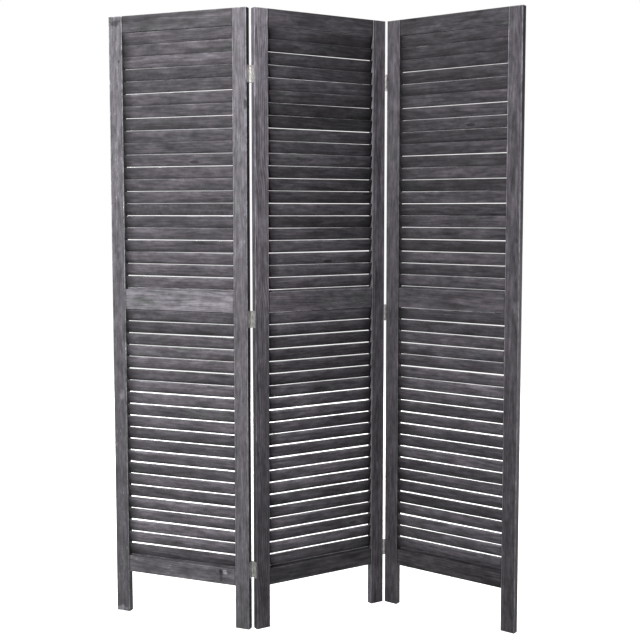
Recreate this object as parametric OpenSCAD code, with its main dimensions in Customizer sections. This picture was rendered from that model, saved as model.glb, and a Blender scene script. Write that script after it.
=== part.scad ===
// Folding screen of three louvred wooden panels, standing half open in a zigzag.
// A panel is two stiles that run down as legs, three dowelled rails and two banks of fixed
// slats, whose ends sit in slots routed in the stiles. Butt hinges on the stiles' edges join
// the panels: their pins are at the back on the left fold and at the front on the right one.
// Millimetres, +Z up. The origin is on the floor, under the middle of the standing screen.
// In a panel's own frame X runs along its width, Y from its front to its back.

/* [Panel] */
// Height of a panel, from the floor to its top
panel_h = 1700; // [1500:10:1900]
// Width of a panel over its stiles
panel_w = 425; // [380:1:480]
// Width of a stile, seen from the front
stile_w = 42; // [38:1:56]
// Thickness of a stile
stile_t = 19; // [18.5:0.5:24]
// Rounding of the stiles' edges and ends
stile_round = 1.2; // [0.6:0.1:2]

/* [Rails] */
// Height of the legs, below the bottom rail
leg_h = 120; // [90:1:180]
// Height of the bottom rail
bottom_rail_h = 46; // [42:1:70]
// Height of the middle rail
middle_rail_h = 56; // [46:1:90]
// Height of the top rail
top_rail_h = 45; // [42:1:70]
// How far a rail's faces lie behind the stiles' faces
rail_recess = 1; // [0.5:0.1:1.5]
// Rounding of the rails' long edges
rail_round = 0.8; // [0.4:0.1:1.5]
// Height of the stop lip at the back of the bottom and middle rails
lip_h = 5; // [4:0.5:12]
// Thickness of the stop lip
lip_t = 6; // [4:0.5:8]

/* [Slats] */
// Width of a slat, from its front edge to its back edge
slat_w = 33.5; // [29:0.5:36]
// Thickness of a slat
slat_t = 6; // [5:0.25:7]
// Rounding of a slat's long edges
slat_round = 2.4; // [2:0.1:2.8]
// Lean of the slats from upright, front edge high
slat_tilt = 13; // [12:0.5:23]
// Widest spacing of the slats, drawn in a little so that a whole number fits
slat_pitch = 34; // [31:0.5:40]
// Gap between a bank's top slat and the rail over it
slat_top_gap = 0.7; // [0.4:0.1:3]
// Gap between a bank's bottom slat and the lip under it
slat_lip_gap = 0.8; // [0.4:0.1:3]

/* [Slots] */
// Depth of a slot in the stile
slot_depth = 8; // [6:0.5:12]
// Room between a slat's end and the floor of its slot
slot_floor_gap = 0.5; // [0.2:0.1:1]
// Room beside a slat, on either face
slot_side_gap = 0.2; // [0.15:0.05:0.4]
// Room at a slat's long edges, where the slot's round ends show
slot_end_gap = 0.9; // [0.8:0.1:1.3]

/* [Dowels] */
// Diameter of a dowel
dowel_d = 8; // [6:0.5:9]
// Length of a dowel, half in the rail and half in the stile
dowel_l = 30; // [24:1:36]
// Chamfer at a dowel's ends
dowel_chamfer = 1; // [0.5:0.1:1.5]
// Distance of a dowel from the top or bottom of its rail
dowel_inset = 13; // [10:0.5:16]
// Clearance round a dowel
dowel_clear = 0.05; // [0.03:0.01:0.15]
// Glue room past a dowel's end
dowel_end_gap = 0.5; // [0.3:0.1:2]

/* [Hinges] */
// Length of a hinge
hinge_l = 46; // [40:1:60]
// How far a leaf reaches across the stile's edge
leaf_reach = 16; // [15:0.5:18]
// Thickness of a leaf
leaf_t = 1.3; // [1:0.1:1.5]
// Depth of the mortise in the stile's edge that takes a leaf
mortise_depth = 1.3; // [0.5:0.1:1.5]
// Room at a leaf's ends and inner side in its mortise
mortise_gap = 0.3; // [0.1:0.1:0.6]
// Outside diameter of the knuckles
knuckle_d = 5.2; // [5:0.1:7]
// Number of knuckles, an odd number
knuckle_count = 5; // [3:2:7]
// Gap between two knuckles, and between a knuckle and the other leaf
knuckle_gap = 0.3; // [0.2:0.05:0.6]
// Gap between the knuckles and the panels' faces
knuckle_stand_off = 0.2; // [0.1:0.05:1]
// Diameter of the pin
pin_d = 2.6; // [2.2:0.1:3.2]
// Clearance round the pin
pin_clear = 0.05; // [0.02:0.01:0.1]
// Diameter of the pin's heads
pin_head_d = 4.4; // [3.8:0.1:5]
// Height of the pin's heads
pin_head_h = 0.9; // [0.6:0.1:1.5]
// Height of the bottom hinges' middle over the floor
bottom_hinge_z = 167; // [140:1:240]
// Distance of the middle hinges' middle below that of the middle rail
middle_hinge_drop = 45; // [0:1:80]
// Distance of the top hinges' middle below the top of the panel
top_hinge_drop = 174; // [140:1:240]

/* [Hinge screws] */
// Screws in a leaf
screw_count = 3; // [2:1:3]
// Distance of the end screws from the ends of the leaf
screw_inset = 8; // [6:0.5:10]
// Diameter of a screw
screw_d = 3; // [2.5:0.1:3.5]
// Length of a screw
screw_l = 16; // [12:0.5:20]
// Length of a screw's point
screw_tip_l = 4; // [2:0.5:6]
// Diameter of a screw's countersunk head
screw_head_d = 5.4; // [5:0.1:6]
// Clearance round a screw and its head
screw_clear = 0.05; // [0.03:0.01:0.1]
// Length of the arms of a screw's cross recess
recess_l = 3; // [2:0.1:3.5]
// Width of the arms of a screw's cross recess
recess_w = 0.7; // [0.5:0.05:1]
// Depth of a screw's cross recess
recess_depth = 0.8; // [0.5:0.1:1.1]

/* [Stance] */
// Turn of the centre panel, whose right end stands further back
centre_turn = 31.5; // [0:0.5:45]
// Fold between the left and centre panels, 0 with the two in line
left_fold = 53.3; // [10:0.1:120]
// Fold between the centre and right panels, 0 with the two in line
right_fold = 68.3; // [10:0.1:120]

/* [Hidden] */
$fn = 48;

// Finishes
frame_colour = "#5d5a60";
slat_colour = "#4d4a50";
metal_colour = "#b4b4b8";
dowel_colour = "#b59a72";

// Panels, in order from the left, and the parts of their names
LEFT = 0;
CENTRE = 1;
RIGHT = 2;
PANELS = ["left", "centre", "right"];
BANKS = ["upper", "lower"];
LEVELS = ["top", "middle", "bottom"];

// Rails, from the top down: the height of each one's foot, its own height and its lip's height
bottom_rail_z = leg_h;
top_rail_z = panel_h - top_rail_h;
middle_rail_z = (bottom_rail_z + bottom_rail_h + top_rail_z - middle_rail_h) / 2;
rail_z = [top_rail_z, middle_rail_z, bottom_rail_z];
rail_h = [top_rail_h, middle_rail_h, bottom_rail_h];
rail_lip_h = [0, lip_h, lip_h];
rail_l = panel_w - 2 * stile_w;
rail_t = stile_t - 2 * rail_recess;

// Banks of slats: bank 0 hangs between rails 0 and 1, bank 1 between rails 1 and 2
slat_r = min(slat_round, 0.45 * slat_t);
slat_drop = (slat_w - 2 * slat_r) * cos(slat_tilt) + (slat_t - 2 * slat_r) * sin(slat_tilt) + 2 * slat_r;
slat_entry = slot_depth - slot_floor_gap;
slat_l = rail_l + 2 * slat_entry;
function top_slat_z(bank) = rail_z[bank] - slat_top_gap - slat_drop / 2;
function bottom_slat_z(bank) =
    rail_z[bank + 1] + rail_h[bank + 1] + lip_h + slat_lip_gap + slat_drop / 2;
function slat_run(bank) = top_slat_z(bank) - bottom_slat_z(bank);
function slat_count(bank) = ceil(slat_run(bank) / slat_pitch) + 1;
function slat_z(bank, i) = top_slat_z(bank) - slat_run(bank) * i / (slat_count(bank) - 1);
function group_start(bank, level) = floor(slat_count(bank) * level / len(LEVELS));

// Hinges, with the pin's axis as Z and the origin at mid-height
knuckle_r = knuckle_d / 2;
knuckle_space = hinge_l / knuckle_count;
knuckle_l = knuckle_space - knuckle_gap;
pin_out = knuckle_r + knuckle_stand_off;
edge_out = knuckle_r - mortise_depth;
leaf_root = knuckle_r + knuckle_gap;
leaf_far = pin_out + leaf_reach;
pin_l = hinge_l - knuckle_gap;
centre_knuckles = [0:2:knuckle_count - 1];
outer_knuckles = [1:2:knuckle_count - 2];
hinge_z = [
    panel_h - top_hinge_drop,
    middle_rail_z + middle_rail_h / 2 - middle_hinge_drop,
    bottom_hinge_z
];
screw_space = (hinge_l - 2 * screw_inset) / (screw_count - 1);

// Sides of a panel: a hinge line's edge is at its left or right, its pins in front or behind
ON_LEFT = -1;
ON_RIGHT = 1;
IN_FRONT = -1;
BEHIND = 1;

// Plan of the standing screen, first with the centre panel's front left corner at the origin
function turned(p, angle) = [p.x * cos(angle) - p.y * sin(angle), p.x * sin(angle) + p.y * cos(angle)];
function pin_line(edge, pins) = [
    edge == ON_RIGHT ? panel_w + edge_out : -edge_out,
    pins == BEHIND ? stile_t + pin_out : -pin_out
];
turns = [centre_turn - left_fold, centre_turn, centre_turn - right_fold];
left_pins = turned(pin_line(ON_LEFT, BEHIND), centre_turn);
right_pins = turned(pin_line(ON_RIGHT, IN_FRONT), centre_turn);
corners = [
    left_pins - turned(pin_line(ON_RIGHT, BEHIND), turns[LEFT]),
    [0, 0],
    right_pins - turned(pin_line(ON_LEFT, IN_FRONT), turns[RIGHT])
];
// The span that the three rounded panels cover on the floor gives the middle
function middle_of(p) = corners[p] + turned([panel_w / 2, stile_t / 2], turns[p]);
function half_span(p) =
    let (
        half = [panel_w / 2 - stile_round, stile_t / 2 - stile_round],
        c = abs(cos(turns[p])),
        s = abs(sin(turns[p]))
    )
    [half.x * c + half.y * s + stile_round, half.x * s + half.y * c + stile_round];
lows = [for (p = [LEFT:RIGHT]) middle_of(p) - half_span(p)];
highs = [for (p = [LEFT:RIGHT]) middle_of(p) + half_span(p)];
function middle(axis) = (min([for (low = lows) low[axis]]) + max([for (high = highs) high[axis]])) / 2;
floor_middle = [middle(0), middle(1)];

// Every piece, in groups of one kind

// Places its children in a panel's own frame
module in_panel(p) {
    corner = corners[p] - floor_middle;
    translate([corner.x, corner.y, 0]) rotate(turns[p]) children();
}

// Places its children on a hinge line of a panel. They are drawn for a right-hand edge with
// the pin behind, which is the Z axis: the edge faces +X at -edge_out, and the panel's back is
// at -pin_out.
module on_hinge_line(edge, pins) {
    line = pin_line(edge, pins);
    translate([line.x, line.y, 0])
        multmatrix([[edge, 0, 0, 0], [0, pins, 0, 0], [0, 0, 1, 0]])
            children();
}

// Stands a flat shape upright and draws it out along X: its X becomes Y and its Y becomes Z
module along_x(length) rotate([90, 0, 90]) linear_extrude(length) children();

// Stands a flat shape upright and draws it out along Y: its Y becomes Z
module along_y(length) translate([0, length, 0]) rotate([90, 0, 0]) linear_extrude(length) children();

// A rectangle from the origin, with round corners
module rounded_rect(w, h, r) {
    translate([r, 0]) square([w - 2 * r, h]);
    translate([0, r]) square([w, h - 2 * r]);
    for (x = [r, w - r], y = [r, h - r]) translate([x, y]) circle(r);
}

// A board from the origin, with every edge rounded
module board(size, r) {
    intersection() {
        linear_extrude(size.z) rounded_rect(size.x, size.y, r);
        along_y(size.y) rounded_rect(size.x, size.z, r);
        along_x(size.x) rounded_rect(size.y, size.z, r);
    }
}

// Places its children at a slat's middle, leaning as it does
module at_slat(bank, i) {
    translate([panel_w / 2, stile_t / 2, slat_z(bank, i)]) rotate([slat_tilt, 0, 0]) children();
}

module slat() {
    translate([-slat_l / 2, -slat_t / 2, -slat_w / 2]) along_x(slat_l) rounded_rect(slat_t, slat_w, slat_r);
}

// The space of a slat's two slots, with the opening between them
module slot_space() {
    r = slat_t / 2 + slot_side_gap;
    reach = slat_w / 2 + slot_end_gap - r;
    length = rail_l + 2 * slot_depth;
    translate([-length / 2, 0, 0]) along_x(length) {
        square([2 * r, 2 * reach], center = true);
        for (y = [-reach, reach]) translate([0, y]) circle(r);
    }
}

// Places its children at the middle of every dowel of a rail, which lies along X
module at_dowels(rail) {
    heights = [rail_z[rail] + dowel_inset, rail_z[rail] + rail_h[rail] - dowel_inset];
    for (x = [stile_w, panel_w - stile_w], z = heights)
        translate([x, stile_t / 2, z]) rotate([0, 90, 0]) children();
}

module dowel() {
    r = dowel_d / 2;
    straight = dowel_l - 2 * dowel_chamfer;
    cylinder(h = straight, r = r, center = true);
    for (end = [0, 1]) mirror([0, 0, end]) translate([0, 0, straight / 2])
        cylinder(h = dowel_chamfer, r1 = r, r2 = r - dowel_chamfer);
}

module dowel_hole() cylinder(h = dowel_l + 2 * dowel_end_gap, d = dowel_d + 2 * dowel_clear, center = true);

// Places its children on the leaf's outer face at each of its screws, with +Z into the wood
module at_screws() {
    for (i = [0:screw_count - 1])
        translate([leaf_t - knuckle_r, -pin_out - stile_t / 2, screw_inset - hinge_l / 2 + i * screw_space])
            rotate([0, -90, 0]) children();
}

module screw() {
    shank_end = screw_l - screw_tip_l;
    difference() {
        union() {
            cylinder(h = leaf_t, d1 = screw_head_d, d2 = screw_d);
            cylinder(h = shank_end, d = screw_d);
            translate([0, 0, shank_end]) cylinder(h = screw_tip_l, d1 = screw_d, d2 = screw_d / 8);
        }
        for (arm = [[recess_l, recess_w], [recess_w, recess_l]])
            cube([arm.x, arm.y, 2 * recess_depth], center = true);
    }
}

// The hole that a screw needs, countersunk through the leaf and plain in the wood
module screw_hole() {
    head_hole_d = screw_head_d + 2 * screw_clear;
    shank_hole_d = screw_d + 2 * screw_clear;
    cylinder(h = leaf_t, d1 = head_hole_d, d2 = shank_hole_d);
    translate([0, 0, -leaf_t]) cylinder(h = leaf_t, d = head_hole_d);
    cylinder(h = screw_l + slot_floor_gap, d = shank_hole_d);
}

// The mortise that a leaf needs in the stile's edge, open at the face beside the pin
module mortise() {
    reach = leaf_far + mortise_gap;
    height = hinge_l + 2 * mortise_gap;
    translate([-knuckle_r, -reach, -height / 2]) cube([knuckle_r, reach, height]);
}

// A hinge leaf with the knuckles of the given numbers, counted from the bottom
module leaf(knuckles) {
    color(metal_colour) difference() {
        union() {
            translate([-knuckle_r, -leaf_far, -hinge_l / 2]) cube([leaf_t, leaf_far - leaf_root, hinge_l]);
            for (k = knuckles) translate([0, 0, (k + 0.5) * knuckle_space - hinge_l / 2]) {
                cylinder(h = knuckle_l, r = knuckle_r, center = true);
                translate([-knuckle_r, -2 * leaf_root, -knuckle_l / 2])
                    cube([leaf_t, 2 * leaf_root, knuckle_l]);
            }
        }
        cylinder(h = 2 * hinge_l, d = pin_d + 2 * pin_clear, center = true);
        at_screws() screw_hole();
    }
}

module pin() {
    color(metal_colour) {
        cylinder(h = pin_l, d = pin_d, center = true);
        for (end = [0, 1]) mirror([0, 0, end]) translate([0, 0, pin_l / 2])
            cylinder(h = pin_head_h, d1 = pin_head_d, d2 = pin_head_d - pin_head_h);
    }
}

// A stile at the given side of its panel. hinge_lines lists the [edge, pins] of its hinges.
module stile(side, hinge_lines) {
    foot_x = side == ON_LEFT ? 0 : panel_w - stile_w;
    color(frame_colour) difference() {
        translate([foot_x, 0, 0]) board([stile_w, stile_t, panel_h], stile_round);
        for (bank = [0:1], i = [0:slat_count(bank) - 1]) at_slat(bank, i) slot_space();
        for (rail = [0:2]) at_dowels(rail) dowel_hole();
        for (line = hinge_lines, z = hinge_z) on_hinge_line(line[0], line[1]) translate([0, 0, z]) {
            mortise();
            at_screws() screw_hole();
        }
    }
}

module rail(i) {
    half_h = rail_h[i] / 2;
    color(frame_colour) difference() {
        translate([stile_w, rail_recess, rail_z[i]]) along_x(rail_l) {
            rounded_rect(rail_t, rail_h[i], rail_round);
            if (rail_lip_h[i] > 0)
                translate([rail_t - lip_t, half_h]) square([lip_t, half_h + rail_lip_h[i]]);
        }
        at_dowels(i) dowel_hole();
    }
}

// A third of a bank of slats
module slats(bank, level) {
    last = group_start(bank, level + 1) - 1;
    color(slat_colour) for (i = [group_start(bank, level):last]) at_slat(bank, i) slat();
}

module dowels() color(dowel_colour) for (rail = [0:2]) at_dowels(rail) dowel();

module hinge_screws() color(metal_colour) for (z = hinge_z) translate([0, 0, z]) at_screws() screw();

// The panels. A stile that carries hinges names its hinge line.
left_fold_outer = [ON_RIGHT, BEHIND];
left_fold_centre = [ON_LEFT, BEHIND];
right_fold_centre = [ON_RIGHT, IN_FRONT];
right_fold_outer = [ON_LEFT, IN_FRONT];
left_stile_lines = [[], [left_fold_centre], [right_fold_outer]];
right_stile_lines = [[left_fold_outer], [right_fold_centre], []];
for (p = [LEFT:RIGHT]) {
    name = str(PANELS[p], "_panel_");
    in_panel(p) stile(ON_LEFT, left_stile_lines[p]);
    in_panel(p) stile(ON_RIGHT, right_stile_lines[p]);
    in_panel(p) dowels();
    for (level = [0:2]) {
        in_panel(p) rail(level);
        for (bank = [0:1])
            in_panel(p) slats(bank, level);
    }
}

// The hinges of a fold: name, outer panel, its hinge line and the centre panel's
FOLDS = [
    ["left", LEFT, left_fold_outer, left_fold_centre],
    ["right", RIGHT, right_fold_outer, right_fold_centre]
];
for (fold = FOLDS) {
    name = fold[0];
    outer = fold[2];
    inner = fold[3];
    in_panel(fold[1]) on_hinge_line(outer[0], outer[1]) hinge_screws();
    in_panel(CENTRE) on_hinge_line(inner[0], inner[1]) hinge_screws();
    for (level = [0:2]) {
        hinge = str(name, "_", LEVELS[level], "_hinge_");
        z = hinge_z[level];
        in_panel(fold[1]) on_hinge_line(outer[0], outer[1]) translate([0, 0, z]) leaf(outer_knuckles);
        in_panel(CENTRE) on_hinge_line(inner[0], inner[1]) translate([0, 0, z]) leaf(centre_knuckles);
        in_panel(CENTRE) on_hinge_line(inner[0], inner[1]) translate([0, 0, z]) pin();
    }
}
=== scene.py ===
"""A folding screen of three louvred panels: the looks of its stained boards, slats and hinges.

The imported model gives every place. The boards, leaves and pins keep their solids and get their
finishes here, and the slats and the hinge screws are made anew. Lengths are millimetres, and
what goes into a mesh is turned into metres.
"""

import logging
import math
from dataclasses import dataclass, field
from enum import Enum

import bpy
from mathutils import Euler, Matrix, Vector


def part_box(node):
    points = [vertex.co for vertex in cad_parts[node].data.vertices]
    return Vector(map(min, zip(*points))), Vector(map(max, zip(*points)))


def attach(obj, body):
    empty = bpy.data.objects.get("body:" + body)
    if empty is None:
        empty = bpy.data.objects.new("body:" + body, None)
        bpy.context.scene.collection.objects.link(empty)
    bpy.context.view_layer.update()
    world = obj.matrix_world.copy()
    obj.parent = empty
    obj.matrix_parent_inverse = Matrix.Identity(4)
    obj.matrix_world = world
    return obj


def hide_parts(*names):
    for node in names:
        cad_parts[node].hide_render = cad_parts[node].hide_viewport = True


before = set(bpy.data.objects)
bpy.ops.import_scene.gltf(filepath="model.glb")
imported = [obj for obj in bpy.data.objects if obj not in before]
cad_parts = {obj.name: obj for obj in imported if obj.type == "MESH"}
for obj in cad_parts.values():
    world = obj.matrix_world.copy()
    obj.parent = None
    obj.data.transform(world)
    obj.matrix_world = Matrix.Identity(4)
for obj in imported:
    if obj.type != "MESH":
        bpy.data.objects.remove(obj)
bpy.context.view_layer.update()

LOG = logging.getLogger("folding_screen")
MM = 0.001
PHOTO_SIDE = 640

Feed = float | tuple[float, ...] | bpy.types.NodeSocket


class PanelName(Enum):
    """The panels, from the left."""

    LEFT = "left"
    CENTRE = "centre"
    RIGHT = "right"


class Side(Enum):
    """A panel's two long sides."""

    LEFT = "left"
    RIGHT = "right"


class Level(Enum):
    """Heights at which rails and hinges sit."""

    TOP = "top"
    MIDDLE = "middle"
    BOTTOM = "bottom"


class Bank(Enum):
    """The two banks of slats in a panel."""

    UPPER = "upper"
    LOWER = "lower"


class Slot(Enum):
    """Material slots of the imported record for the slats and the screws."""

    SLATS = "slat_wood"
    SCREWS = "screw_metal"


def feed(tree: bpy.types.NodeTree, socket: bpy.types.NodeSocket, value: "Feed | Reading") -> None:
    """Joins a value to a socket, or sets it there.

    Args:
        tree: The tree that holds the socket.
        socket: The socket that takes the value.
        value: Another node's output, a reading, or a plain value.
    """
    if isinstance(value, Reading):
        value = value.socket
    if isinstance(value, bpy.types.NodeSocket):
        tree.links.new(value, socket)
    else:
        socket.default_value = value


def add_node(
    tree: bpy.types.NodeTree, kind: str, inputs: dict | None = None, **settings: object
) -> bpy.types.Node:
    """Adds a node to a tree.

    Args:
        tree: The tree that takes the node.
        kind: The node's type.
        inputs: Values of its inputs, by name or number.
        settings: Values of its own properties.

    Returns:
        The new node.
    """
    node = tree.nodes.new(kind)
    for name, value in settings.items():
        setattr(node, name, value)
    for key, value in (inputs or {}).items():
        feed(tree, node.inputs[key], value)
    return node


@dataclass(frozen=True)
class Reading:
    """A number read at every point of a surface, worked out with ordinary arithmetic."""

    tree: bpy.types.NodeTree
    socket: bpy.types.NodeSocket

    def _maths(self, operation: str, *values: "Feed | Reading") -> "Reading":
        """Works out one operation of the Math node.

        Args:
            operation: The operation's name.
            values: What goes into it, in order.

        Returns:
            The result.
        """
        node = add_node(self.tree, "ShaderNodeMath", dict(enumerate(values)), operation=operation)
        return Reading(self.tree, node.outputs[0])

    def __add__(self, other: "Feed | Reading") -> "Reading":
        """Adds."""
        return self._maths("ADD", self, other)

    def __radd__(self, other: float) -> "Reading":
        """Adds, with the number first."""
        return self._maths("ADD", other, self)

    def __sub__(self, other: "Feed | Reading") -> "Reading":
        """Takes away."""
        return self._maths("SUBTRACT", self, other)

    def __rsub__(self, other: float) -> "Reading":
        """Takes this reading from a number."""
        return self._maths("SUBTRACT", other, self)

    def __mul__(self, other: "Feed | Reading") -> "Reading":
        """Multiplies."""
        return self._maths("MULTIPLY", self, other)

    def __truediv__(self, other: "Feed | Reading") -> "Reading":
        """Divides."""
        return self._maths("DIVIDE", self, other)

    def __abs__(self) -> "Reading":
        """Drops the sign."""
        return self._maths("ABSOLUTE", self)

    def sine(self) -> "Reading":
        """Takes the sine."""
        return self._maths("SINE", self)

    def cosine(self) -> "Reading":
        """Takes the cosine."""
        return self._maths("COSINE", self)

    def angle(self, other: "Feed | Reading") -> "Reading":
        """Gives the angle at which a point lies whose axes are this number and another."""
        return self._maths("ARCTAN2", other, self)

    def root(self) -> "Reading":
        """Takes the square root."""
        return self._maths("SQRT", self)

    def fraction(self) -> "Reading":
        """Keeps the part after the point."""
        return self._maths("FRACT", self)

    def sign(self) -> "Reading":
        """Gives 1 above zero and -1 below."""
        return self._maths("SIGN", self)

    def least(self, other: "Feed | Reading") -> "Reading":
        """Gives the lower of two."""
        return self._maths("MINIMUM", self, other)

    def most(self, other: "Feed | Reading") -> "Reading":
        """Gives the higher of two."""
        return self._maths("MAXIMUM", self, other)

    def above(self, limit: "Feed | Reading") -> "Reading":
        """Gives 1 above a limit and 0 below it."""
        return self._maths("GREATER_THAN", self, limit)

    def rise(self, start: float, end: float, low: float = 0.0, high: float = 1.0) -> "Reading":
        """Goes smoothly from one value to another as this reading goes from start to end.

        Args:
            start: The reading at which the rise begins.
            end: The reading at which it ends, above or below the start.
            low: The value before the start.
            high: The value after the end.

        Returns:
            The smooth step.
        """
        flip = end < start
        lowest, highest = (end, start) if flip else (start, end)
        first, last = (high, low) if flip else (low, high)
        node = add_node(
            self.tree,
            "ShaderNodeMapRange",
            {"Value": self, "From Min": lowest, "From Max": highest, "To Min": first, "To Max": last},
            interpolation_type="SMOOTHSTEP",
        )
        return Reading(self.tree, node.outputs[0])


def axes_of(tree: bpy.types.NodeTree, vector: bpy.types.NodeSocket) -> tuple[Reading, Reading, Reading]:
    """Splits a vector.

    Args:
        tree: The tree that the vector is in.
        vector: The vector's socket.

    Returns:
        Its three axes.
    """
    node = add_node(tree, "ShaderNodeSeparateXYZ", {0: vector})
    return tuple(Reading(tree, node.outputs[i]) for i in range(3))


def joined(
    tree: bpy.types.NodeTree, x: Reading | float, y: Reading | float, z: Reading | float
) -> bpy.types.NodeSocket:
    """Joins three readings into a vector.

    Args:
        tree: The tree that the readings are in.
        x: The first axis.
        y: The second axis.
        z: The third axis.

    Returns:
        The vector's socket.
    """
    return add_node(tree, "ShaderNodeCombineXYZ", {0: x, 1: y, 2: z}).outputs[0]


def scaled(
    tree: bpy.types.NodeTree, vector: bpy.types.NodeSocket, scale: Reading | float
) -> bpy.types.NodeSocket:
    """Scales a vector or colour.

    Args:
        tree: The tree that it is in.
        vector: Its socket.
        scale: What it is multiplied by.

    Returns:
        The scaled vector's socket.
    """
    return add_node(tree, "ShaderNodeVectorMath", {0: vector, "Scale": scale}, operation="SCALE").outputs[0]


def mixed_colour(
    tree: bpy.types.NodeTree,
    share: Reading,
    first: tuple[float, float, float],
    second: tuple[float, float, float],
) -> bpy.types.NodeSocket:
    """Mixes two colours.

    Args:
        tree: The material's tree.
        share: How much of the second there is.
        first: The first colour.
        second: The second colour.

    Returns:
        The colour's socket.
    """
    colours = {"Factor": share, 6: (*first, 1.0), 7: (*second, 1.0)}
    return add_node(tree, "ShaderNodeMix", colours, data_type="RGBA").outputs[2]


def noise(
    tree: bpy.types.NodeTree,
    at: bpy.types.NodeSocket,
    size: tuple[float, float, float],
    detail: float = 2.0,
    rough: float = 0.55,
) -> Reading:
    """Reads a cloudy pattern whose blots have a given size, as a number that wanders about zero.

    Args:
        tree: The tree that takes the nodes.
        at: Where it is read, in millimetres.
        size: Size of the blots along each axis, in millimetres.
        detail: How many times finer blots are laid over the coarse ones.
        rough: How much the finer ones weigh.

    Returns:
        The pattern, mostly from -0.25 to 0.25.
    """
    place = add_node(tree, "ShaderNodeVectorMath", {0: at, 1: size}, operation="DIVIDE").outputs[0]
    node = add_node(
        tree, "ShaderNodeTexNoise", {"Vector": place, "Scale": 1.0, "Detail": detail, "Roughness": rough}
    )
    return Reading(tree, node.outputs[0]) - 0.5


@dataclass(frozen=True)
class Layer:
    """One layer of wood or stain: blots of one size, drawn out along the grain.

    The length and width are millimetres, and the strength is how far the layer sways the tone
    or whatever else it is laid on.
    """

    length: float
    width: float
    strength: float = 1.0
    detail: float = 2.0
    rough: float = 0.55

    def read(self, tree: bpy.types.NodeTree, at: bpy.types.NodeSocket) -> Reading:
        """Reads the layer before its strength.

        Args:
            tree: The tree that takes the nodes.
            at: Where it is read, in millimetres.

        Returns:
            The layer, mostly from -0.25 to 0.25.
        """
        return noise(tree, at, (self.length, self.width, self.width), self.detail, self.rough)


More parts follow.
